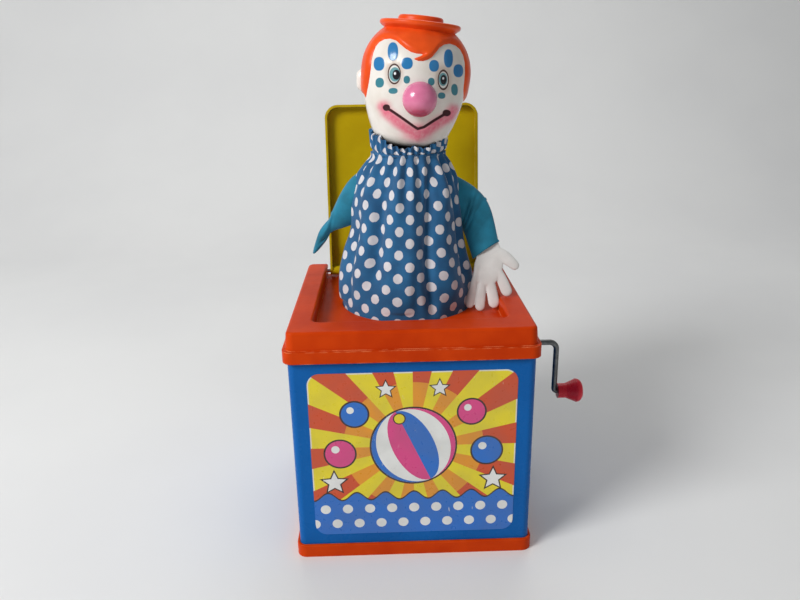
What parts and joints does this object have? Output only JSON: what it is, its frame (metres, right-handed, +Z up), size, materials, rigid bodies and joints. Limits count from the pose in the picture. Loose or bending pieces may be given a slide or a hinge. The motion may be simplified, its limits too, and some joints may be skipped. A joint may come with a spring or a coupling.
{
  "type": "jack in the box",
  "caption": "Tin music box with moulded base and top, hinged tray lid and side crank, from which a clown puppet in a dotted gown pops up on a coil spring.",
  "frame": {"origin": "middle of the box's underside, where it stands", "axes": "+Z up, -Y towards the viewer and the printed front, +X towards the crank"},
  "size_m": [0.1865, 0.1565, 0.3049],
  "materials": {
    "orange_plastic": "glossy moulded plastic",
    "blue_tin": "glossy painted tin",
    "front_print": "printed sheet, semi-gloss",
    "yellow_plastic": "satin moulded plastic",
    "bright_steel": "bright zinc plated",
    "spring_steel": "oiled spring wire",
    "dark_wire": "dark bent wire",
    "black_plastic": "moulded plastic",
    "movement_plastic": "moulded plastic",
    "red_plastic": "glossy moulded plastic",
    "face_plastic": "glossy painted plastic",
    "hair_plastic": "glossy moulded plastic",
    "nose_plastic": "glossy moulded plastic",
    "dotted_cloth": "printed cotton",
    "teal_cloth": "plain cotton",
    "white_vinyl": "soft flat vinyl"
  },
  "bodies": {
    "box": {"base_tray": "orange_plastic", "tin_body": "blue_tin", "front_label": "front_print", "top_frame": "orange_plastic", "hem_ring": "bright_steel", "spring_seat": "black_plastic", "spring_seat_screws": "bright_steel", "main_spring": "spring_steel", "crank_bush": "black_plastic", "chassis_outer_plate": "bright_steel", "chassis_inner_plate": "bright_steel", "chassis_posts": "bright_steel", "chassis_screws": "bright_steel", "comb_bar": "movement_plastic", "comb": "bright_steel", "comb_screws": "bright_steel", "latch_leaf": "bright_steel", "hinge_pin": "bright_steel"},
    "puppet": {"head_shell": "face_plastic", "hair_cap": "hair_plastic", "hat": "hair_plastic", "nose": "nose_plastic", "neck_plug": "black_plastic", "neck_band": "dotted_cloth", "neck_ruffle": "dotted_cloth", "gown": "dotted_cloth", "left_sleeve": "teal_cloth", "right_sleeve": "teal_cloth", "left_hand": "white_vinyl", "right_hand": "white_vinyl"},
    "lid": {"lid": "yellow_plastic"},
    "crank": {"crank_handle": "dark_wire", "crank_pinion": "movement_plastic", "crank_clip": "bright_steel"},
    "knob": {"crank_knob": "red_plastic"},
    "drum": {"drum_axle": "bright_steel", "tune_drum": "movement_plastic", "drum_gear": "movement_plastic"},
    "latch": {"latch_lever": "black_plastic"}
  },
  "joints": [
    {"name": "puppet_pop", "type": "slide", "parent": "box", "child": "puppet", "axis": [0, 0, 1], "range_m": [-0.206, 0], "stiffness_N_per_m": 40, "springref_m": 0.03, "deforming": ["gown", "main_spring", "left_sleeve", "right_sleeve", "left_hand", "right_hand"]},
    {"name": "lid_hinge", "type": "hinge", "parent": "box", "child": "lid", "pos_m": [0, 0.064, 0.1395], "axis": [-1, 0, 0], "range_deg": [-99, 0]},
    {"name": "crank_turn", "type": "hinge", "parent": "box", "child": "crank", "pos_m": [0.06, 0, 0.106], "axis": [1, 0, 0], "continuous": true},
    {"name": "drum_turn", "type": "hinge", "parent": "box", "child": "drum", "pos_m": [0.06, 0, 0.081], "axis": [1, 0, 0], "continuous": true},
    {"name": "knob_spin", "type": "hinge", "parent": "crank", "child": "knob", "pos_m": [0.105, 0, 0.071], "axis": [1, 0, 0], "continuous": true},
    {"name": "latch_rock", "type": "hinge", "parent": "box", "child": "latch", "pos_m": [0, -0.054, 0.118], "axis": [1, 0, 0], "range_deg": [0, 10], "stiffness_Nm_per_rad": 0.03, "springref_deg": -8.59, "deforming": ["latch_leaf"]}
  ],
  "couplings": [
    {"joint": "lid_hinge", "follows": "puppet_pop", "rad_per_m": 6.8626},
    {"joint": "drum_turn", "follows": "crank_turn", "ratio": -0.25}
  ]
}
